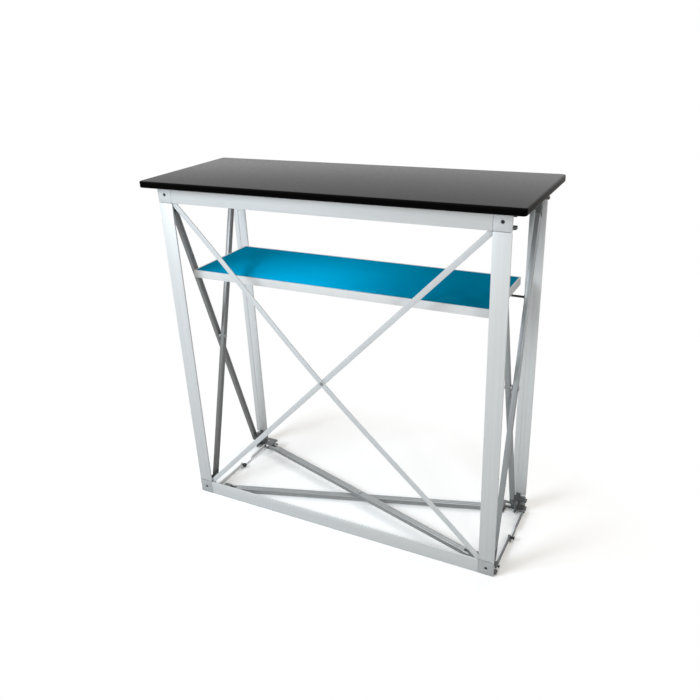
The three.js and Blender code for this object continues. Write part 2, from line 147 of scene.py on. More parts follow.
def floor_finish():
    """Albedo is lifted for camera rays; from NEAR to FAR off the middle it turns to plain white light."""
    material = bpy.data.materials.new("floor_pale")
    material.use_nodes = True
    t = material.node_tree
    t.nodes.clear()
    link = t.links.new
    matte = new_node(t, "ShaderNodeBsdfDiffuse")
    plain = new_node(t, "ShaderNodeEmission")
    blend = new_node(t, "ShaderNodeMixShader")
    out = new_node(t, "ShaderNodeOutputMaterial")
    path = new_node(t, "ShaderNodeLightPath")
    glossy = new_node(t, "ShaderNodeMapRange")
    glossy.inputs["To Min"].default_value = BOUNCE
    glossy.inputs["To Max"].default_value = MIRRORED
    lift = new_node(t, "ShaderNodeMix")
    lift.inputs["B"].default_value = LIFTED
    where = new_node(t, "ShaderNodeTexCoord")
    squeeze = new_node(t, "ShaderNodeVectorMath", operation="MULTIPLY")
    squeeze.inputs[1].default_value = (1.0, SQUEEZE, 1.0)
    away = new_node(t, "ShaderNodeVectorMath", operation="LENGTH")
    fade = new_node(t, "ShaderNodeMapRange", interpolation_type="SMOOTHSTEP")
    fade.inputs["From Min"].default_value = NEAR
    fade.inputs["From Max"].default_value = FAR
    share = new_node(t, "ShaderNodeMath", operation="MULTIPLY")
    link(path.outputs["Is Glossy Ray"], glossy.inputs["Value"])
    link(path.outputs["Is Camera Ray"], lift.inputs["Factor"])
    link(glossy.outputs["Result"], lift.inputs["A"])
    link(lift.outputs["Result"], matte.inputs["Color"])
    link(where.outputs["Object"], squeeze.inputs[0])
    link(squeeze.outputs["Vector"], away.inputs[0])
    link(away.outputs["Value"], fade.inputs["Value"])
    link(fade.outputs["Result"], share.inputs[0])
    link(path.outputs["Is Camera Ray"], share.inputs[1])
    link(share.outputs[0], blend.inputs["Fac"])
    link(matte.outputs["BSDF"], blend.inputs[1])
    link(plain.outputs["Emission"], blend.inputs[2])
    link(blend.outputs["Shader"], out.inputs["Surface"])
    return material


floor_mesh = bpy.data.meshes.new("floor")
floor_corners = np.array([[-1, -1, 0], [1, -1, 0], [1, 1, 0], [-1, 1, 0]]) * FLOOR_REACH
floor_mesh.from_pydata(floor_corners.tolist(), [], [(0, 1, 2, 3)])
floor_mesh.materials.append(floor_finish())
floor = bpy.data.objects.new("floor", floor_mesh)
scene.collection.objects.link(floor)
print("floor", 2 * FLOOR_REACH, "m wide")

# %% [markdown]
# ## Lamps
# A large cool lamp in front at the left makes the frame fade downwards and to the right. A small one in
# front at the right lights the faces turned that way. A third stands high behind and gives the counter top
# its sheen. A fourth looks in under the counter top and will be linked to the shelf alone. All are area
# lamps, because their shadows have soft edges where those of a point lamp are hard.

# %% Soft lamps
COOL, NEUTRAL = (0.87, 0.965, 1.05), (1.0, 1.0, 1.0)


def lamp(name, place, aim, size, watts, tint=NEUTRAL, spread=180):
    """A square soft lamp at a place, facing a point, with its beam spread in degrees."""
    data = bpy.data.lights.new(name, "AREA")
    data.energy = watts
    data.size = size
    data.color = tint
    data.spread = math.radians(spread)
    item = bpy.data.objects.new(name, data)
    back = np.array(place) - np.array(aim)
    back = back / np.linalg.norm(back)
    side = np.cross(Z, back)
    side = side / np.linalg.norm(side)
    item.matrix_world = standing(side, np.cross(back, side), back, place)
    scene.collection.objects.link(item)
    return item


key_lamp = lamp("lamp_key", place=(-1.2, -1.8, 1.75), aim=(-0.2, 0.0, 0.7), size=1.0, watts=33, tint=COOL)
shelf_lamp = lamp("lamp_shelf", place=(-0.1, -1.35, 1.15), aim=(-0.09, 0.0, 0.74), size=0.3, watts=1.7,
                  tint=COOL, spread=30)
right_lamp = lamp("lamp_right", place=(2.0, -1.75, 1.35), aim=(0.2, 0.0, 0.4), size=0.45, watts=11.5)
back_lamp = lamp("lamp_back", place=(0.5, 2.2, 2.9), aim=(0.0, 0.0, 0.6), size=1.2, watts=16)
print("lamps:", ", ".join(item.name for item in (key_lamp, shelf_lamp, right_lamp, back_lamp)))

# %% [markdown]
# ## Finishes
# Every finish starts from one Principled shader. Its colour, roughness and bump come from noise on
# Object coordinates, stretched along the piece where the real surface was drawn, brushed or rolled.
# A picture could carry the grain too, but noise has no seams, and Object coordinates belong to the piece,
# so its grain moves with it. Values that are the same all over stay on the shader's own sockets.

# %% Finish maker
BROAD_DETAIL, FINE_DETAIL = 4.0, 3.0
FINE_LOW, FINE_HIGH = 0.3, 0.7
RELIEF = 0.001


def noise(t, where, scale, detail):
    """Noise on Object coordinates that are first scaled along each axis."""
    spread = new_node(t, "ShaderNodeMapping")
    spread.inputs["Scale"].default_value = scale
    cloud = new_node(t, "ShaderNodeTexNoise")
    cloud.inputs["Scale"].default_value = 1.0
    cloud.inputs["Detail"].default_value = detail
    t.links.new(where.outputs["Object"], spread.inputs["Vector"])
    t.links.new(spread.outputs["Vector"], cloud.inputs["Vector"])
    return cloud.outputs["Fac"]


def finish(name, dark, light, rough, metal, grain, fine, bump, specular=0.5):
    """Two noises: a broad one mixes two close colours, a fine one varies roughness and bump."""
    material = bpy.data.materials.new(name)
    material.use_nodes = True
    t = material.node_tree
    shader = t.nodes["Principled BSDF"]
    shader.inputs["Metallic"].default_value = metal
    shader.inputs["Specular IOR Level"].default_value = specular
    where = new_node(t, "ShaderNodeTexCoord")
    broad = noise(t, where, grain, BROAD_DETAIL)
    close = noise(t, where, fine, FINE_DETAIL)
    mix = new_node(t, "ShaderNodeMix", data_type="RGBA")
    mix.inputs["A"].default_value = (*dark, 1.0)
    mix.inputs["B"].default_value = (*light, 1.0)
    gloss = new_node(t, "ShaderNodeMapRange")
    gloss.inputs["From Min"].default_value = FINE_LOW
    gloss.inputs["From Max"].default_value = FINE_HIGH
    gloss.inputs["To Min"].default_value = rough[0]
    gloss.inputs["To Max"].default_value = rough[1]
    relief = new_node(t, "ShaderNodeBump")
    relief.inputs["Strength"].default_value = bump
    relief.inputs["Distance"].default_value = RELIEF
    t.links.new(broad, mix.inputs["Factor"])
    t.links.new(mix.outputs["Result"], shader.inputs["Base Color"])
    t.links.new(close, gloss.inputs["Value"])
    t.links.new(gloss.outputs["Result"], shader.inputs["Roughness"])
    t.links.new(close, relief.inputs["Height"])
    t.links.new(relief.outputs["Normal"], shader.inputs["Normal"])
    return material


def even(broad, close):
    """The same grain along all three axes."""
    return dict(grain=(broad, broad, broad), fine=(close, close, close))


print("finish maker ready")

# %% [markdown]
# ## The finishes of this bar
# The frame is satin silver with a drawn grain along each strip, the side and floor bars are greyer, and
# the moulded pieces are dark. The back legs are painted paler than the front ones, the right side bars
# paler than the left, and the left locking arms pale where the right ones are dark grey: painted light and
# painted shade, each pair being one material. The counter top is black laminate whose edge band is painted
# a darker black, as painted shade, and the shelf is blue. Two close colours in each finish keep it from
# looking flat.

# %% Finishes by name
SATIN, DRAWN = (0.36, 0.5), (0.3, 0.42)
upright = dict(grain=(160, 160, 3), fine=(1400, 1400, 12))
level = dict(grain=(3, 160, 160), fine=(12, 1400, 1400))
bar_way = dict(grain=(120, 120, 4), fine=(1200, 1200, 16))
floor_way = dict(grain=(4, 60, 120), fine=(20, 500, 1200))
board_way = dict(grain=(7, 90, 90), fine=(40, 900, 900))
silver = dict(dark=(0.65, 0.67, 0.675), light=(0.74, 0.76, 0.765), rough=SATIN, metal=0.2, bump=0.05)
# pale is the frame's silver made lighter for the back legs: painted light on legs that stand in more shade
pale = dict(dark=(0.7, 0.715, 0.715), light=(0.79, 0.805, 0.805), rough=SATIN, metal=0.1, bump=0.05)
looks = {
    "leg_front": finish("satin_leg", **silver, **upright),
    # back legs: the paler copy of the silver, painted light
    "leg_back": finish("pale_leg_painted_light", **pale, **upright),
    "rail": finish("satin_rail", **silver, **level),
    "cover": finish("satin_cover", (0.62, 0.64, 0.65), (0.72, 0.74, 0.75), SATIN,
                    metal=0.25, bump=0.05, **even(40, 1200)),
    # The covers at the feet are darker than those at the top.
    "cover_low": finish("darker_low_cover", (0.46, 0.475, 0.48), (0.55, 0.565, 0.57), SATIN,
                        metal=0.25, bump=0.05, **even(40, 1200)),
    "brace": finish("white_brace", (0.6, 0.625, 0.635), (0.69, 0.715, 0.725), (0.38, 0.52),
                    metal=0.1, bump=0.05, **even(25, 700)),
    "hub": finish("hub_plastic", (0.1, 0.107, 0.11), (0.145, 0.153, 0.157), (0.42, 0.6),
                  metal=0.0, bump=0.12, **even(30, 1600)),
    # Side bars are one metal in two copies: the right is painted lighter and bluer as painted light, the
    # left darker as painted shade
    "bar_left": finish("grey_bar_painted_shade", (0.22, 0.222, 0.22), (0.3, 0.302, 0.3), DRAWN,
                       metal=0.4, bump=0.05, **bar_way),
    "bar_right": finish("pale_bar_painted_light", (0.35, 0.375, 0.385), (0.44, 0.465, 0.475), DRAWN,
                        metal=0.4, bump=0.05, **bar_way),
    "floor": finish("floor_bar", (0.37, 0.385, 0.385), (0.47, 0.485, 0.49), (0.34, 0.46),
                    metal=0.4, bump=0.06, **floor_way),
    "fork": finish("fork_enamel", (0.13, 0.137, 0.14), (0.18, 0.188, 0.19), SATIN,
                   metal=0.2, bump=0.06, **even(40, 900)),
    # Locking arms are one metal in two copies: the left is painted near white as painted light, the right
    # dark grey as painted shade
    "arm_left": finish("pale_arm_painted_light", (0.76, 0.77, 0.77), (0.84, 0.85, 0.85), SATIN,
                       metal=0.2, bump=0.06, **even(40, 900)),
    "arm_right": finish("grey_arm_painted_shade", (0.19, 0.2, 0.205), (0.26, 0.27, 0.275), SATIN,
                        metal=0.2, bump=0.06, **even(40, 900)),
    "knob": finish("black_knob", (0.012, 0.013, 0.014), (0.022, 0.023, 0.025), (0.34, 0.5),
                   metal=0.0, bump=0.1, **even(60, 1500)),
    "pin": finish("turned_steel", (0.36, 0.37, 0.38), (0.5, 0.51, 0.52), (0.22, 0.36),
                  metal=0.95, bump=0.04, **even(200, 1500)),
    "peg": finish("black_peg", (0.02, 0.021, 0.023), (0.04, 0.041, 0.044), (0.3, 0.46),
                  metal=0.3, bump=0.06, **even(90, 1500)),
    "top": finish("black_laminate", (0.006, 0.0062, 0.0065), (0.017, 0.0172, 0.0178), (0.15, 0.28),
                  metal=0.0, bump=0.03, specular=0.045, **board_way),
    # the edge band is painted a darker black than the top: painted shade on the faces that lean away from
    # level
    "band": finish("black_edge_band_painted_shade", (0.001, 0.0011, 0.0012), (0.002, 0.0021, 0.0022), (0.16, 0.24),
                   metal=0.0, bump=0.02, specular=0.05, **even(12, 900)),
    "shelf": finish("blue_laminate", (0.0, 0.222, 0.395), (0.0, 0.255, 0.437), (0.3, 0.4),
                    metal=0.0, bump=0.012, specular=0.0, **even(5, 1300)),
    "edging": finish("pale_edging", (0.7, 0.71, 0.71), (0.78, 0.79, 0.79), (0.4, 0.55),
                     metal=0.0, bump=0.05, **even(14, 900)),
}
print(len(looks), "finishes")

# %% [markdown]
# ## One way to skin every new piece
# A piece is a stack of rings: whole arrays of points with the same count in each ring. Quads join
# one ring to the next. An open stack is shut with a flat face at each end; a closed stack joins its
# last ring to its first, as a washer does. The signed volume tells whether the faces point outwards.
# Primitives and modifiers could make some of the pieces, but one skin makes them all from tables of sizes.

# %% Skin a stack of rings
pieces = []


def show(name, mesh, look, node, replace=True):
    """Give a mesh its finish and its place among the pieces, riding on the body of a solid."""
    mesh.materials.append(looks[look])
    piece = bpy.data.objects.new(name, mesh)
    scene.collection.objects.link(piece)
    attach(piece, node_body[node])
    if replace:
        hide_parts(node)
    pieces.append(piece)
    return piece


def six_volumes(a, b, c):
    """Six times the volume between the middle and triangles a, b, c: the sum of a . (b x c)."""
    return np.einsum("ij,ij->i", a, np.cross(b, c)).sum()


def skin(name, rings, look, node, closed=False, crease=28, replace=True):
    """Quads between ring i and i+1, point j and j+1; a negative volume turns all faces round."""
    rings = np.asarray(rings, float)
    m, n = rings.shape[:2]
    row = np.arange(m if closed else m - 1)[:, None] * n
    next_row = (row + n) % (m * n)
    here = np.arange(n)[None, :]
    there = (here + 1) % n
    quads = np.stack([row + here, row + there, next_row + there, next_row + here], axis=2).reshape(-1, 4)
    points = rings.reshape(-1, 3)
    middle = points - points.mean(axis=0)
    p, q, r, s = (middle[quads[:, k]] for k in range(4))
    volume = six_volumes(p, q, r) + six_volumes(p, r, s)
    faces = quads.tolist()
    if not closed:
        faces += [np.arange(n)[::-1].tolist(), ((m - 1) * n + np.arange(n)).tolist()]
        first, last = middle[:n], middle[-n:]
        volume += six_volumes(np.full_like(first, first.mean(axis=0)), np.roll(first, -1, axis=0), first)
        volume += six_volumes(np.full_like(last, last.mean(axis=0)), last, np.roll(last, -1, axis=0))
    if volume < 0:
        faces = [face[::-1] for face in faces]
    mesh = bpy.data.meshes.new(name)
    mesh.from_pydata(points.tolist(), [], faces)
    mesh.polygons.foreach_set("use_smooth", np.ones(len(mesh.polygons), dtype=bool))
    mesh.set_sharp_from_angle(angle=math.radians(crease))
    return show(name, mesh, look, node, replace)


print("skin ready")

# %% [markdown]
# ## Profiles and what carries them
# A drawn piece is a flat outline with rounded corners, carried along a line. A turned piece is a table of
# radius and height, spun about an axis. Both come out as rings for the skin. A curve with a bevel could
# carry an outline too, but with arrays each end can also be drawn in a little, which softens its edge.

# %% Outlines, runs and turnings
def unit(rows):
    """Each row scaled to length one."""
    return rows / np.linalg.norm(rows, axis=1)[:, None]


def outline(points, radius, steps=4):
    """Round each corner of a polygon: arcs tangent to both sides, radius shared or one each."""
    points = np.asarray(points, float)
    before = unit(np.roll(points, 1, axis=0) - points)
    after = unit(np.roll(points, -1, axis=0) - points)
    half = np.arccos(np.clip((before * after).sum(axis=1), -1, 1)) / 2
    radius = np.broadcast_to(np.asarray(radius, float), half.shape)
    run = (radius / np.tan(half))[:, None]
    hub = points + unit(before + after) * (radius / np.sin(half))[:, None]
    start = points + before * run - hub
    end = points + after * run - hub
    angle = (math.pi - 2 * half)[:, None]
    t = np.linspace(0, 1, steps + 1)[None, :]
    from_start = (np.sin((1 - t) * angle) / np.sin(angle))[:, :, None]
    from_end = (np.sin(t * angle) / np.sin(angle))[:, :, None]
    arc = hub[:, None, :] + from_start * start[:, None, :] + from_end * end[:, None, :]
    return arc.reshape(-1, 2)


def inset(profile, depth):
    """Move each point to the left of its way round, which is inwards for an outline run leftwards."""
    ahead = unit(np.roll(profile, -1, axis=0) - np.roll(profile, 1, axis=0))
    return profile + depth * np.stack([-ahead[:, 1], ahead[:, 0]], axis=1)


def set_at(origin, profile, across, upward):
    """Profile points laid out in space: origin + first * across + second * upward."""
    return np.asarray(origin) + profile[:, :1] * np.asarray(across) + profile[:, 1:] * np.asarray(upward)


def carry(profile, start, end, across, upward, soft=0.0006):
    """Profile set at four stations of a straight run, inset by half the softness at each end."""
    start, end = np.asarray(start, float), np.asarray(end, float)
    along = (end - start) / np.linalg.norm(end - start)
    small = inset(profile, soft / 2)
    step = along * soft
    stations = [(start, small), (start + step, profile), (end - step, profile), (end, small)]
    return np.stack([set_at(origin, shape, across, upward) for origin, shape in stations])


def turned(profile, centre, axis, count=40, wave=None):
    """Points (radius, height) spun about an axis through a centre; wave scales radius by angle."""
    profile = np.asarray(profile, float)
    axis = np.asarray(axis, float)
    side = np.cross(axis, X if axis[2] else Z)
    side /= np.linalg.norm(side)
    other = np.cross(axis, side)
    angle = np.linspace(0, 2 * math.pi, count, endpoint=False)
    round_way = np.cos(angle)[:, None] * side + np.sin(angle)[:, None] * other
    radius = profile[:, :1] * np.ones((1, count)) if wave is None else wave(profile, angle)
    return np.asarray(centre) + radius[:, :, None] * round_way[None] + profile[:, 1][:, None, None] * axis


def joined(*tables):
    """Profile tables one after the other."""
    return np.concatenate(tables)


def mirrored(table):
    """The same profile table on the other side of its middle, run backwards."""
    return table[::-1] * [1, -1]


print("profile tools ready")

# %% [markdown]
# ## Legs and rails
# Each is a flat drawn strip with softened edges and a shallow channel along its inner face. The
# outline of the strip is carried from one end to the other, so the channel runs the whole length. A
# stretched box would be simpler, but it would lose the channel. A leg stops a little short of its hubs,
# which leaves a joint line, wider at the foot.

# %% Drawn strips
FACES, SIDES = ("front", "back"), ("left", "right")
STRIP, DEEP, CHANNEL, LOW = 0.043, 0.005, 0.012, 0.0015
OUTER_ROUND, INNER_ROUND, LIP_ROUND, BED_ROUND = 0.0012, 0.0008, 0.0005, 0.0004
JOINT_LOW, JOINT_HIGH = 0.003, 0.0006
edge, lip, bed = STRIP / 2, CHANNEL / 2, DEEP - LOW
strip_corners = [(-edge, 0), (edge, 0), (edge, DEEP), (lip, DEEP), (lip, bed), (-lip, bed), (-lip, DEEP),
                 (-edge, DEEP)]
strip_rounds = [OUTER_ROUND, OUTER_ROUND, INNER_ROUND, LIP_ROUND, BED_ROUND, BED_ROUND, LIP_ROUND,
                INNER_ROUND]
strip_profile = outline(strip_corners, strip_rounds)


def corners_of(node):
    """Lowest and highest corner of a solid at rest, as two arrays."""
    return [np.array(corner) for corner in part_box(node)]


for face in FACES:
    for side in SIDES:
        node = f"leg_{face}_{side}"
        lo, hi = corners_of(node)
        mid_x = (lo[0] + hi[0]) / 2
        outer, inward = (lo[1], Y) if face == "front" else (hi[1], -Y)
        foot = (mid_x, outer, lo[2] + JOINT_LOW)
        head = (mid_x, outer, hi[2] - JOINT_HIGH)
        skin(f"strip_{node}", carry(strip_profile, foot, head, X, inward), f"leg_{face}", node)
for end in ("bottom", "top"):
    node = f"rail_{end}"
    lo, hi = corners_of(node)
    mid_z = (lo[2] + hi[2]) / 2
    rings = carry(strip_profile, (lo[0], lo[1], mid_z), (hi[0], lo[1], mid_z), Z, Y)
    skin(f"strip_{node}", rings, "rail", node)
print(len(pieces), "strips")

# %% [markdown]
# ## Hub covers and their screws
# A cover is a square plate with a countersunk hole. Seen as rings, it runs from the square outer
# edge over the face into the round hole and back along the rear: one closed loop of rings. A boolean cut
# could make the hole, but rings give even faces round it. The screw head is turned, and the wall of its
# socket is six-sided because the radius follows a hexagon.

# %% Covers and screws
def mm(table):
    """A table of millimetres as an array of metres."""
    return np.array(table, float) / 1000


COVER_HALF, COVER_DEEP, COVER_HOLE, COVER_RIM, COVER_SINK = 0.0214, 0.0049, 0.0041, 0.0009, 0.0035
COVER_COUNT, SCREW_COUNT = 48, 36
CORNER_FROM, CORNER_CUT, RIM_CUT = 0.86, 0.035, 0.3
SOCKET_FLAT, SOCKET_RINGS, SQUARE_RINGS = 0.88, 2, 4
SCREW = mm([(1.8, -12), (1.8, -1.2), (3.9, -1.2), (3.9, -0.5), (3.5, -0.1), (2.6, -0.1), (2.4, -0.1),
            (2.2, -1)])
spin = np.linspace(0, 2 * math.pi, COVER_COUNT, endpoint=False)
circle = np.stack([np.cos(spin), np.sin(spin)], axis=1)
square = circle / np.abs(circle).max(axis=1)[:, None]
near_corner = np.clip(np.abs(square).min(axis=1) - CORNER_FROM, 0, None) / (1 - CORNER_FROM)
square = square * (1 - CORNER_CUT * near_corner[:, None])


def cover_rings(centre, outward):
    """Rear edge, rounded rim and face follow the square; sink and hole wall follow the circle."""
    half, deep, hole, rim = COVER_HALF, COVER_DEEP, COVER_HOLE, COVER_RIM
    cut = RIM_CUT * rim
    size = np.array([half, half, half - cut, half - rim, hole + COVER_SINK, hole + rim, hole, hole])
    height = np.array([0, deep - rim, deep - cut, deep, deep, deep, deep - rim, 0])
    squared = (np.arange(len(size)) < SQUARE_RINGS)[:, None, None]
    flat = size[:, None, None] * np.where(squared, square, circle)
    rise = (height - deep)[:, None, None] * outward * Y
    return np.asarray(centre) + flat[:, :, :1] * X + flat[:, :, 1:] * Z + rise


def hexagon(profile, angle):
    """The last two rings follow a hexagon: flat / cos of the angle from the flat's middle."""
    off_middle = np.cos(np.mod(angle, math.pi / 3) - math.pi / 6)
    inside = (np.arange(len(profile)) >= len(profile) - SOCKET_RINGS)[:, None]
    return profile[:, :1] * np.where(inside, SOCKET_FLAT / off_middle[None, :], 1.0)


for face in FACES:
    outward = -1.0 if face == "front" else 1.0
    for side in SIDES:
        for end in ("bottom", "top"):
            tag = f"{face}_{side}_{end}"
            lo, hi = corners_of(f"hub_cover_{tag}")
            centre = (lo + hi) / 2
            centre[1] = lo[1] if face == "front" else hi[1]
            look = "cover" if end == "top" else "cover_low"
            skin(f"cover_{tag}", cover_rings(centre, outward), look, f"hub_cover_{tag}", closed=True)
            head = turned(SCREW, centre, outward * Y, SCREW_COUNT, hexagon)
            skin(f"screw_{tag}", head, "peg", f"hub_screw_{tag}")
print("covers and screws done,", len(pieces), "pieces")

# %% [markdown]
# ## Front diagonals
# Two thin strips run from corner to corner and bow a little towards the front in the middle, as thin
# strip does when it is riveted slightly long. A modifier could bend a straight strip, but a formula says
# how far it bows. The square of a sine leaves both ends flat against the hubs. The rivet in the middle
# moves forward with the strips.

# %% Bowed strips
BOW, BRACE_WIDE, BRACE_THICK, BRACE_ROUND, BRACE_TRIM = 0.022, 0.015, 0.003, 0.0007, 0.004
BRACE_RIVET = mm([(3, 3.9), (5.5, 4), (4.8, 5.5), (2, 6.2)])
half = BRACE_WIDE / 2
brace_corners = [(-half, 0), (half, 0), (half, BRACE_THICK), (-half, BRACE_THICK)]
brace_profile = outline(brace_corners, BRACE_ROUND, steps=3)


def bowed(start, end, count=49):
    """Path point = straight line moved forward by bow * sin^2(pi t), profile set square to the line."""
    t = np.linspace(0, 1, count)[:, None]
    start, end = np.asarray(start, float), np.asarray(end, float)
    line = start + (end - start) * t - Y * BOW * np.sin(math.pi * t) ** 2
    along = (end - start) / np.linalg.norm(end - start)
    return line[:, None, :] + set_at((0, 0, 0), brace_profile, np.cross(along, Y), Y)[None]


for way, rise in (("falling", -1), ("rising", 1)):
    lo, hi = corners_of(f"brace_{way}")
    z_start, z_end = (lo[2], hi[2]) if rise > 0 else (hi[2], lo[2])
    start = (lo[0] + BRACE_TRIM, lo[1], z_start + rise * BRACE_TRIM)
    end = (hi[0] - BRACE_TRIM, lo[1], z_end - rise * BRACE_TRIM)
    skin(f"diagonal_{way}", bowed(start, end), "brace", f"brace_{way}")
lo, hi = corners_of("brace_rivet")
rivet = turned(joined(mirrored(BRACE_RIVET), BRACE_RIVET), (lo + hi) / 2 - BOW * Y, Y)
skin("diagonal_rivet", rivet, "pin", "brace_rivet")
print("diagonals bow", BOW, "m")

# %% [markdown]
# ## Side scissor bars
# The bars are drawn tube with a groove along two faces, and dark moulded eyes shut their ends. The
# tube is a carried outline; an eye is a ring loop from a round-ended outer edge into its pin hole. They
# could be one mesh, but metal and moulding differ, so each has its own finish. A short pin at the upper end
# slides in the slot of the hub.

# %% Grooved tubes and eyes
PIVOT_FRONT, PIVOT_BACK, PIVOT_LOW, PIVOT_HIGH = -0.125, 0.135, 0.035, 0.935
BAR_THICK, BAR_WIDE, BAR_ROUND = 0.013, 0.017, 0.002
GROOVE, GROOVE_TAPER, GROOVE_ROUND = 0.0016, 0.6, 0.0003
LUG_X, BAR_STEP, TUBE_TRIM, TUBE_SOFT = 0.4625, 0.0095, 0.022, 0.0004
EYE_LONG, EYE_FOOT_HOLE, EYE_HEAD_HOLE = 0.024, 0.0041, 0.0038
STUB_HEAD, STUB_OUT = mm([(2.5, -1), (5.5, -0.5), (5.5, 0), (3.9, 0.2)]), 0.0055
PIN_TIP = mm([(3.9, -0.6), (3.3, 0)])
half_t, half_w = BAR_THICK / 2, BAR_WIDE / 2
groove_bed, groove_half = half_t - GROOVE, GROOVE * GROOVE_TAPER
tube_right = np.array([(half_t, -half_w), (half_t, -GROOVE), (groove_bed, -groove_half),
                       (groove_bed, groove_half), (half_t, GROOVE), (half_t, half_w)])
tube_corners = np.concatenate([-tube_right[-1:], tube_right, -tube_right[:-1]])
tube_rounds = [BAR_ROUND, BAR_ROUND] + [GROOVE_ROUND] * 4 + [BAR_ROUND, BAR_ROUND] + [GROOVE_ROUND] * 4
tube_profile = outline(tube_corners, tube_rounds)


def long_round(count, length, radius):
    """Outline of a round-ended plate: a circle whose far half is moved along by the length."""
    angle = np.linspace(0, 2 * math.pi, count, endpoint=False) + math.pi / count
    shift = np.where(np.cos(angle) > 0, length, 0.0)
    return np.stack([np.cos(angle) * radius + shift, np.sin(angle) * radius], axis=1)


def eye_rings(origin, along, across, through, length, radius, hole, thick, slot=0.0, soft=0.0012, count=48):
    """Ring loop: rear hole edge, rear face, rounded rim, front face, hole wall; a slot is a long hole."""
    outer = long_round(count, length, radius)
    inner = long_round(count, length, radius - soft)
    bore = long_round(count, slot, hole)
    stations = [(bore, 0.0), (inner, 0.0), (outer, soft), (outer, thick - soft), (inner, thick),
                (bore, thick)]
    through = np.asarray(through)
    return np.stack([set_at(origin, shape, along, across) + rise * through for shape, rise in stations])


bar_facts = {}
for side in SIDES:
    lug_x = -LUG_X if side == "left" else LUG_X
    for way, toward in (("rising", 1), ("falling", -1)):
        node = f"bar_{side}_{way}"
        x = lug_x + toward * BAR_STEP
        foot_y, head_y = (PIVOT_FRONT, PIVOT_BACK) if way == "rising" else (PIVOT_BACK, PIVOT_FRONT)
        foot, head = np.array([x, foot_y, PIVOT_LOW]), np.array([x, head_y, PIVOT_HIGH])
        along = (head - foot) / np.linalg.norm(head - foot)
        across = np.cross(along, X)
        tube = carry(tube_profile, foot + along * TUBE_TRIM, head - along * TUBE_TRIM, X, across, TUBE_SOFT)
        # right bars take the lighter copy (painted light), left bars the darker one (painted shade)
        skin(f"tube_{side}_{way}", tube, f"bar_{side}", node)
        ends = [("foot", foot, along, EYE_FOOT_HOLE), ("head", head, -along, EYE_HEAD_HOLE)]
        for end, place, inward, hole in ends:
            eye = eye_rings(place - half_t * X, inward, across, X, EYE_LONG, half_w, hole, BAR_THICK)
            skin(f"eye_{end}_{side}_{way}", eye, "hub", node, closed=True, replace=False)
        stub = joined(STUB_HEAD - [0, half_t], PIN_TIP + [0, half_t + STUB_OUT])
        pin = turned(stub, head, -toward * X)
        skin(f"slide_pin_{side}_{way}", pin, "pin", node, replace=False)
        bar_facts[node] = (x, foot, along)
print("bars done,", len(pieces), "pieces")

# %% [markdown]
# ## Pivots and pegs
# Everything round is a turned profile: a table of radius and height spun about the pin's axis. The foot
# pivots have one head, the centre pivots have two and a washer between the bars, and the shelf pegs have
# a collar against their bar. A bevelled cylinder could stand for a pin, but a table gives the head, the
# shank and the tip at once.

# %% Turned pins
PIVOT_HEAD = mm([(2.6, 0), (5.2, 0.3), (6.4, 1.1), (6.4, 2.4), (3.9, 2.5)])
CENTRE_HEAD = mm([(2.6, 0), (5.4, 0.3), (6.4, 1.2), (6.4, 2.4), (3.9, 2.5)])
WASHER = mm([(3.9, -2.5), (8.4, -2.4), (8.4, 2.4), (3.9, 2.5)])
PEG_COLLAR = mm([(2.9, -2), (5.8, -0.5), (5.8, 1.4), (5, 2), (2.95, 2.1)])
PEG_POINT = mm([(2.95, -1.2), (2.4, -0.3), (1.4, 0)])
PEG_END, PEG_BELOW = 0.424, 0.003
peg_z = corners_of("shelf_edging")[0][2] - PEG_BELOW
for side in SIDES:
    inward = 1.0 if side == "left" else -1.0
    for way, toward in (("rising", 1.0), ("falling", -1.0)):
        node = f"pivot_pin_{side}_{way}"
        lo, hi = corners_of(node)
        long = hi[0] - lo[0]
        head_end = (lo + hi) / 2 - toward * long / 2 * X
        pin = joined(PIVOT_HEAD, PIN_TIP + [0, long])
        skin(f"pivot_{side}_{way}", turned(pin, head_end, toward * X), "pin", node)
        bar = f"bar_{side}_{way}"
        x, foot, along = bar_facts[bar]
        peg_y = foot[1] + along[1] / along[2] * (peg_z - PIVOT_LOW)
        root = np.array([x + inward * half_t, peg_y, peg_z])
        peg_profile = joined(PEG_COLLAR, PEG_POINT + [0, abs(root[0]) - PEG_END])
        peg = turned(peg_profile, root, inward * X)
        skin(f"peg_{side}_{way}", peg, "peg", bar, replace=False)
    node = f"centre_pivot_{side}"
    lo, hi = corners_of(node)
    head = CENTRE_HEAD - [0, (hi[0] - lo[0]) / 2]
    pivot = turned(joined(head, WASHER, mirrored(head)), (lo + hi) / 2, X)
    skin(f"middle_pivot_{side}", pivot, "pin", node)
print("pins and pegs done,", len(pieces), "pieces")

# %% [markdown]
# ## Knobs and the floor rivet
# A knob is turned like a pin, with its radius rippled where the grip is widest. The ribs could be cut one by
# one, but the ripple makes them all at once. The rivet that joins the floor bars has a domed head at each
# end, and one table gives both.

# %% Ribbed knobs and rivet
KNOB_ROOT = mm([(4.2, 0), (5.8, 0.5), (5.8, 2), (3.5, 2.1)])
KNOB_GRIP = mm([(3.5, -6.9), (6.6, -6.8), (7, -6.2), (7, -1.2), (6.4, -0.3), (4, 0), (3, -0.6)])
RIB_FROM, RIB_DEEP, RIB_COUNT, KNOB_COUNT = 0.0062, 0.07, 14, 112
FLOOR_SHAFT, FLOOR_HEAD = mm([(2.9, 0)]), mm([(2.9, -2.4), (6, -2.4), (6, -1.08), (4.92, -0.288), (2.4, 0)])


def ribbed(profile, angle):
    """Radius times a small ripple, only where the grip is widest."""
    grip = (profile[:, 0] > RIB_FROM)[:, None]
    return profile[:, :1] * (1 - grip * RIB_DEEP * (0.5 + 0.5 * np.cos(RIB_COUNT * angle))[None, :])


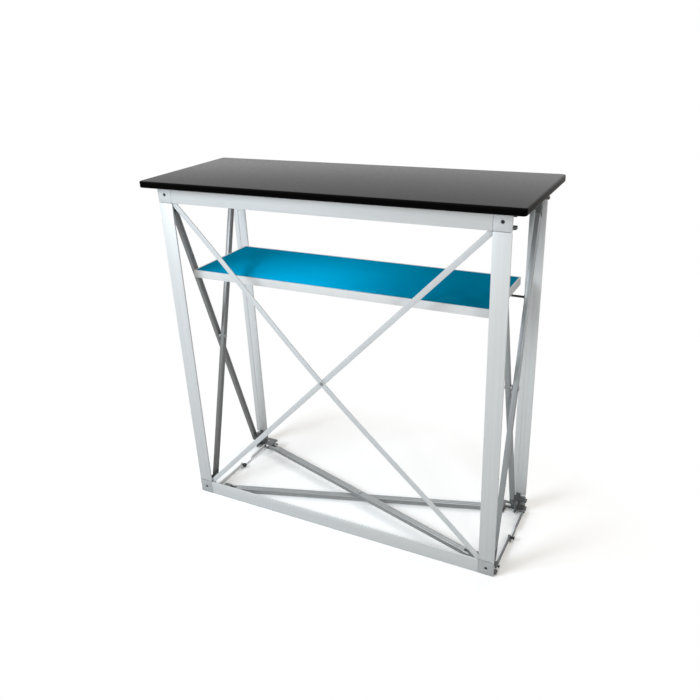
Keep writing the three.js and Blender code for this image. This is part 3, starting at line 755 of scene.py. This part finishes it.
for side in SIDES:
    node = f"lock_knob_{side}"
    lo, hi = corners_of(node)
    root = (lo + hi) / 2
    root[0], inward = (lo[0], X) if side == "left" else (hi[0], -X)
    knob = joined(KNOB_ROOT, KNOB_GRIP + [0, hi[0] - lo[0]])
    skin(f"knob_{side}", turned(knob, root, inward, KNOB_COUNT, ribbed), "knob", node)
lo, hi = corners_of("floor_rivet")
head = FLOOR_HEAD + [0, (hi[2] - lo[2]) / 2]
rivet = turned(joined(mirrored(head), FLOOR_SHAFT, head), (lo + hi) / 2, Z)
skin("floor_pivot_rivet", rivet, "pin", "floor_rivet")
print("knobs and rivet done,", len(pieces), "pieces")

# %% [markdown]
# ## Floor bars
# Two drawn bars with ribs along them cross under the counter. Their ends are flat slotted tongues
# that slide on the pins of the hub forks while the frame closes. A tongue could be cut from the bar, but it
# has the form of an eye with a long hole, so the same function makes it.

# %% Ribbed bars with slotted tongues
WIDE, TALL, RIB, RIB_IN, RIB_OUT, RIB_ROUND = 0.010, 0.006, 0.0014, 0.0022, 0.0052, 0.00035
FORK_LEFT, FORK_RIGHT, FORK_Y, FLOOR_LOW, FLOOR_HIGH = -0.401, 0.415, 0.127, 0.011, 0.0242
FLOOR_TRIM, TONGUE_LONG, TONGUE_R, TONGUE_SOFT = 0.030, 0.034, 0.0098, 0.0008
SLOT_LONG, SLOT_R, TONGUE_HALF = 0.023, 0.0048, 0.0058
side_in, top_in = WIDE - RIB, TALL - RIB
half_floor = [(WIDE, -TALL), (WIDE, -RIB), (side_in, -RIB), (side_in, RIB), (WIDE, RIB), (WIDE, TALL),
              (RIB_OUT, TALL), (RIB_OUT, top_in), (RIB_IN, top_in), (RIB_IN, TALL)]
half_floor = np.array(half_floor)
floor_profile = outline(np.concatenate([half_floor, half_floor[::-1] * [-1, 1]]), RIB_ROUND, steps=2)
for height, toward, z in (("low", 1, FLOOR_LOW), ("high", -1, FLOOR_HIGH)):
    node = f"floor_bar_{height}"
    a = np.array([FORK_LEFT, -toward * FORK_Y, z])
    b = np.array([FORK_RIGHT, toward * FORK_Y, z])
    along = (b - a) / np.linalg.norm(b - a)
    bar = carry(floor_profile, a + along * FLOOR_TRIM, b - along * FLOOR_TRIM, np.cross(Z, along), Z)
    skin(f"ribbed_{height}", bar, "floor", node)
    for tag, pin, inward in (("a", a, along), ("b", b, -along)):
        tongue = eye_rings(pin - TONGUE_HALF * Z, inward, np.cross(Z, inward), Z, TONGUE_LONG, TONGUE_R,
                           SLOT_R, 2 * TONGUE_HALF, slot=SLOT_LONG, soft=TONGUE_SOFT)
        skin(f"tongue_{height}_{tag}", tongue, "floor", node, closed=True, replace=False)
print("floor bars done,", len(pieces), "pieces")

# %% [markdown]
# ## Locking arms
# A flat arm with a stud hangs on each front foot, and the stud drops behind the hook of the arm on the
# back foot. Both could be cut from a box, but the front arm is a round-ended plate with a hole, as an eye
# is, and the back arm is a hooked outline carried across its thickness. Both have softened edges.

# %% Stud arms and hooked arms
ARM_Z, ARM_REACH, ARM_R, ARM_HOLE, ARM_SOFT = 0.010, 0.130, 0.007, 0.0033, 0.0005
hook_corners = mm([(-6, 6), (-6, -6), (78, -6), (90, -8), (141, -8), (141, 0), (134.1, 0), (134.1, -3.8),
                   (90, -3.8), (81, 6)])
hook_rounds = mm([5.8, 5.8, 4, 4, 1.4, 1.2, 1.2, 0.6, 2, 2])
hook_profile = outline(hook_corners, hook_rounds)
for side in SIDES:
    node = f"lock_arm_front_{side}"
    lo, hi = corners_of(node)
    arm = eye_rings((lo[0], PIVOT_FRONT, ARM_Z), Y, Z, X, ARM_REACH, ARM_R, ARM_HOLE, hi[0] - lo[0])
    # each side's arm takes its copy: painted light on the left, painted shade on the right
    skin(f"stud_arm_{side}", arm, f"arm_{side}", node, closed=True)
    node = f"lock_arm_back_{side}"
    lo, hi = corners_of(node)
    arm = carry(hook_profile, (lo[0], PIVOT_BACK, ARM_Z), (hi[0], PIVOT_BACK, ARM_Z), -Y, Z, ARM_SOFT)
    skin(f"hook_arm_{side}", arm, f"arm_{side}", node)
print("locking arms done,", len(pieces), "pieces")

# %% [markdown]
# ## Counter top
# A black laminated board with a soft edge band. The rings follow the rounded rectangle of the board
# while their inset and height walk round the edge, so highlights run smoothly along it. A bevelled box
# would come close, but here the steps of the edge are set by one formula. Faces that lean away from level
# take the finish of the band. The two front lamps leave the board out, because its gloss would turn white
# with them when it is seen from behind.

# %% Soft-edged board
TOP_CORNER, TOP_EDGE, BAND_LEAN, BOARD_CREASE, CORNER_STEPS = 0.010, 0.0038, 0.95, 40, 8


def rectangle(lo, hi, smaller=0.0):
    """Corners of a box seen from above, all pulled inwards by the same amount."""
    west, east = lo[0] + smaller, hi[0] - smaller
    south, north = lo[1] + smaller, hi[1] - smaller
    return np.array([(west, south), (east, south), (east, north), (west, north)])


def board_rings(lo, hi, corner, edge, steps=6):
    """Rounded rectangle pulled in by edge * (1 - cos) while the height climbs by edge * sin."""
    turn = np.linspace(0, math.pi / 2, steps + 1)
    share = np.concatenate([1 - np.sin(turn), 1 - np.cos(turn)])[:, None, None]
    height = np.concatenate([lo[2] + edge * (1 - np.cos(turn)), hi[2] - edge * (1 - np.sin(turn))])
    large = outline(rectangle(lo, hi), corner, CORNER_STEPS)
    small = outline(rectangle(lo, hi, edge), corner - edge, CORNER_STEPS)
    flat = large[None] * (1 - share) + small[None] * share
    return np.concatenate([flat, np.broadcast_to(height[:, None, None], flat[:, :, :1].shape)], axis=2)


lo, hi = corners_of("counter_top")
board = board_rings(lo, hi, TOP_CORNER, TOP_EDGE)
soft_board = skin("soft_board", board, "top", "counter_top", crease=BOARD_CREASE)
# faces leaning away from level get the band's darker black, which is painted shade
soft_board.data.materials.append(looks["band"])
lean = np.empty(3 * len(soft_board.data.polygons))
soft_board.data.polygons.foreach_get("normal", lean)
on_edge = (np.abs(lean.reshape(-1, 3)[:, 2]) < BAND_LEAN).astype(np.int32)
soft_board.data.polygons.foreach_set("material_index", on_edge)


def link_light(name, lamps, piece, state):
    """INCLUDE lets the lamps reach this piece alone, EXCLUDE lets them reach all the others."""
    group = bpy.data.collections.new(name)
    group.objects.link(piece)
    group.collection_objects[0].light_linking.link_state = state
    for item in lamps:
        item.light_linking.receiver_collection = group


link_light("unlit_board", [key_lamp, right_lamp], soft_board, "EXCLUDE")
print("board", np.round(hi - lo, 4))

# %% [markdown]
# ## Shelf
# The shelf is a blue laminated panel inside a pale edging. The edging is one outline carried round
# the four mitred corners of a rectangle; four separate sticks could do it, but they would leave seams. The
# panel is a board with a very small edge. The lamp that looks in under the counter top reaches the panel
# alone, so the pieces around it stay as they are.

# %% Panel and mitred edging
EDGING_THICK, EDGING_ROUND = 0.004, 0.0009
PANEL_CORNER, PANEL_EDGE, PANEL_STEPS = 0.0012, 0.0006, 3


def mitred(lo, hi, thick, soft):
    """Rings at the four corners: profile x points inwards along both axes at once, so corners mitre."""
    tall = hi[2] - lo[2]
    profile = outline([(0, 0), (thick, 0), (thick, tall), (0, tall)], soft)
    inward = np.array([(1, 1), (-1, 1), (-1, -1), (1, -1)], float)
    plan = rectangle(lo, hi)[:, None, :] + profile[None, :, :1] * inward[:, None, :]
    height = np.broadcast_to(lo[2] + profile[None, :, 1:], (len(plan), len(profile), 1))
    return np.concatenate([plan, height], axis=2)


lo, hi = corners_of("shelf_edging")
skin("shelf_rim", mitred(lo, hi, EDGING_THICK, EDGING_ROUND), "edging", "shelf_edging", closed=True)
lo, hi = corners_of("shelf_panel")
panel = board_rings(lo, hi, PANEL_CORNER, PANEL_EDGE, PANEL_STEPS)
shelf_board = skin("shelf_board", panel, "shelf", "shelf_panel", crease=BOARD_CREASE)
link_light("lit_shelf", [shelf_lamp], shelf_board, "INCLUDE")
print("shelf done,", len(pieces), "pieces")

# %% [markdown]
# ## Hubs and forks
# The moulded hubs and the forks already have the right shape as solids, but real moulded edges are never
# sharp. Building them again from rings would only repeat the solids, so a copy of each is welded, its flat
# faces are joined, and a small bevel rounds its edges.

# %% Softened solids
WELD, FLAT_DEGREES, SHARP_DEGREES, BEVEL, BEVEL_STEPS = 1e-6, 1, 35, 0.0006, 2


def softened(node, look):
    """Weld the copy's points, join faces that lie in one plane, then round its sharp edges."""
    mesh = frame["nodes"][node].data.copy()
    weld = bmesh.new()
    weld.from_mesh(mesh)
    bmesh.ops.remove_doubles(weld, verts=weld.verts, dist=WELD)
    flat = math.radians(FLAT_DEGREES)
    bmesh.ops.dissolve_limit(weld, angle_limit=flat, verts=weld.verts, edges=weld.edges)
    weld.to_mesh(mesh)
    weld.free()
    mesh.materials.clear()
    piece = show(f"soft_{node}", mesh, look, node)
    bevel = piece.modifiers.new("soft_edges", "BEVEL")
    bevel.width = BEVEL
    bevel.segments = BEVEL_STEPS
    bevel.limit_method = "ANGLE"
    bevel.angle_limit = math.radians(SHARP_DEGREES)


solids = [name for name in frame["nodes"] if name.startswith(("hub_front", "hub_back", "floor_fork"))]
for name in solids:
    softened(name, "fork" if "fork" in name else "hub")
print(len(solids), "solids softened:", ", ".join(solids[:3]), "...")
